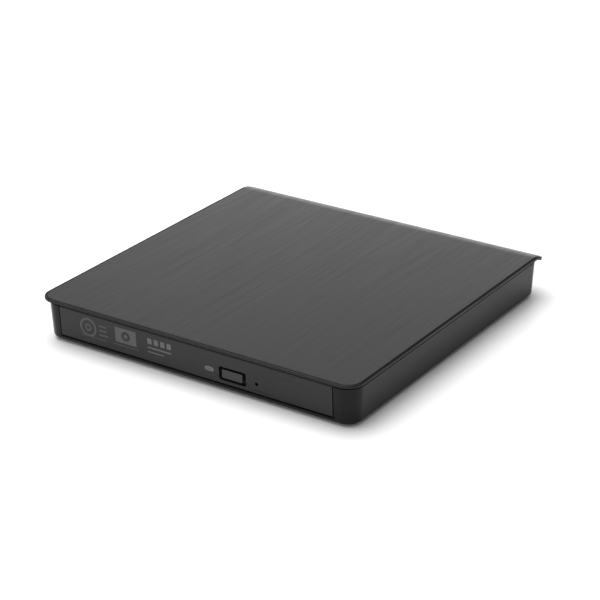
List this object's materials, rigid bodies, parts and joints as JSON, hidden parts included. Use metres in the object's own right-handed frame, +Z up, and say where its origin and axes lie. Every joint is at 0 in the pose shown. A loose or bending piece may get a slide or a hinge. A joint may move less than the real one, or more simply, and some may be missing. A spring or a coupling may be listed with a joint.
{
  "type": "external optical drive",
  "caption": "Slim square external disc drive: brushed dark cover with a curled rear lip, sliding disc tray behind a plain front bezel, eject button, indicator light and rear data socket.",
  "frame": {"origin": "centre of the footprint of the whole drive, on the surface it rests on", "axes": "+X to the right seen from the front, +Y from the front bezel to the rear, +Z up"},
  "size_m": [0.149, 0.151, 0.0176],
  "materials": {
    "cover": "dark grey, brushed front to back",
    "shell": "dark grey satin",
    "bezel": "dark grey satin",
    "tray": "black fine texture",
    "rubber": "matte black",
    "steel": "bright rolled sheet",
    "board": "green solder mask",
    "chip": "black moulded resin",
    "resin": "natural acetal",
    "ribbon": "pale flat cable",
    "light": "milky translucent",
    "brass": "machined",
    "lens": "coated clear"
  },
  "bodies": {
    "case": {"top_cover": "cover", "base_shell": "shell", "foot_front_left": "rubber", "foot_front_right": "rubber", "foot_rear_left": "rubber", "foot_rear_right": "rubber", "cover_screw_front_left": "steel", "cover_screw_front_right": "steel", "cover_screw_rear_left": "steel", "cover_screw_rear_right": "steel", "bridge_board": "board", "bridge_chip": "chip", "bridge_crystal": "steel", "usb_socket_shell": "steel", "usb_socket_tongue": "chip", "sata_socket": "chip", "drive_chassis": "steel", "drive_lid": "steel", "rail_guide_left": "resin", "rail_guide_right": "resin", "interface_board": "board", "sata_plug": "chip", "latch_post": "steel", "plunger_guide": "tray", "ribbon_fixed_run": "ribbon"},
    "tray_unit": {"tray": "tray", "tray_bottom_cover": "steel", "ribbon_tray_run": "ribbon", "front_bezel": "bezel", "led_light_pipe": "light", "button_board": "board", "tact_switch": "chip", "tray_board": "board", "controller_chip": "chip", "motor_driver_chip": "chip", "latch_solenoid": "steel", "traverse_frame": "steel", "damper_1": "rubber", "damper_2": "rubber", "damper_3": "rubber", "guide_rod_1": "steel", "guide_rod_2": "steel", "sled_motor": "steel", "spindle_stator": "brass"},
    "rail_left": {"slide_rail_left": "steel"},
    "rail_right": {"slide_rail_right": "steel"},
    "ribbon": {"ribbon_loop": "ribbon"},
    "button": {"eject_button": "bezel"},
    "latch": {"latch_hook": "resin"},
    "plunger": {"eject_plunger": "resin"},
    "spindle": {"turntable": "tray", "turntable_pad": "rubber"},
    "claw_1": {"chuck_claw_1": "resin"},
    "claw_2": {"chuck_claw_2": "resin"},
    "claw_3": {"chuck_claw_3": "resin"},
    "screw": {"lead_screw": "steel"},
    "pickup": {"pickup_sled": "steel"},
    "lens": {"lens_holder": "chip", "objective_lens": "lens"}
  },
  "joints": [
    {"name": "tray_slide", "type": "slide", "parent": "case", "child": "tray_unit", "axis": [0, -1, 0], "range_m": [0, 0.128]},
    {"name": "rail_left_slide", "type": "slide", "parent": "case", "child": "rail_left", "axis": [0, -1, 0], "range_m": [0, 0.064]},
    {"name": "rail_right_slide", "type": "slide", "parent": "case", "child": "rail_right", "axis": [0, -1, 0], "range_m": [0, 0.064]},
    {"name": "ribbon_shift", "type": "slide", "parent": "case", "child": "ribbon", "axis": [0, -1, 0], "range_m": [0, 0.064]},
    {"name": "button_press", "type": "slide", "parent": "tray_unit", "child": "button", "axis": [0, 1, 0], "range_m": [0, 0.0006], "stiffness_N_per_m": 400},
    {"name": "latch_swing", "type": "hinge", "parent": "tray_unit", "child": "latch", "pos_m": [0.042, -0.042, 0.0065], "axis": [0, 0, 1], "range_deg": [0, 8], "stiffness_Nm_per_rad": 0.002},
    {"name": "plunger_push", "type": "slide", "parent": "case", "child": "plunger", "axis": [0, 1, 0], "range_m": [0, 0.005], "stiffness_N_per_m": 200},
    {"name": "spindle_spin", "type": "hinge", "parent": "tray_unit", "child": "spindle", "pos_m": [0.0009, -0.0095, 0.009], "axis": [0, 0, 1], "continuous": true},
    {"name": "claw_1_press", "type": "slide", "parent": "spindle", "child": "claw_1", "axis": [0, -1, 0], "range_m": [0, 0.0006], "stiffness_N_per_m": 300},
    {"name": "claw_2_press", "type": "slide", "parent": "spindle", "child": "claw_2", "axis": [0.866, 0.5, 0], "range_m": [0, 0.0006], "stiffness_N_per_m": 300},
    {"name": "claw_3_press", "type": "slide", "parent": "spindle", "child": "claw_3", "axis": [-0.866, 0.5, 0], "range_m": [0, 0.0006], "stiffness_N_per_m": 300},
    {"name": "pickup_slide", "type": "slide", "parent": "tray_unit", "child": "pickup", "axis": [-0.7071, -0.7071, 0], "range_m": [0, 0.033]},
    {"name": "screw_turn", "type": "hinge", "parent": "tray_unit", "child": "screw", "pos_m": [-0.01218, 0.00358, 0.008], "axis": [-0.7071, -0.7071, 0], "range_deg": [0, 3965]},
    {"name": "lens_focus", "type": "slide", "parent": "pickup", "child": "lens", "axis": [0, 0, 1], "range_m": [-0.0004, 0.0004], "stiffness_N_per_m": 60}
  ],
  "couplings": [
    {"joint": "rail_left_slide", "follows": "tray_slide", "ratio": 0.5},
    {"joint": "rail_right_slide", "follows": "tray_slide", "ratio": 0.5},
    {"joint": "ribbon_shift", "follows": "tray_slide", "ratio": 0.5},
    {"joint": "screw_turn", "follows": "pickup_slide", "rad_per_m": 2094.4}
  ]
}
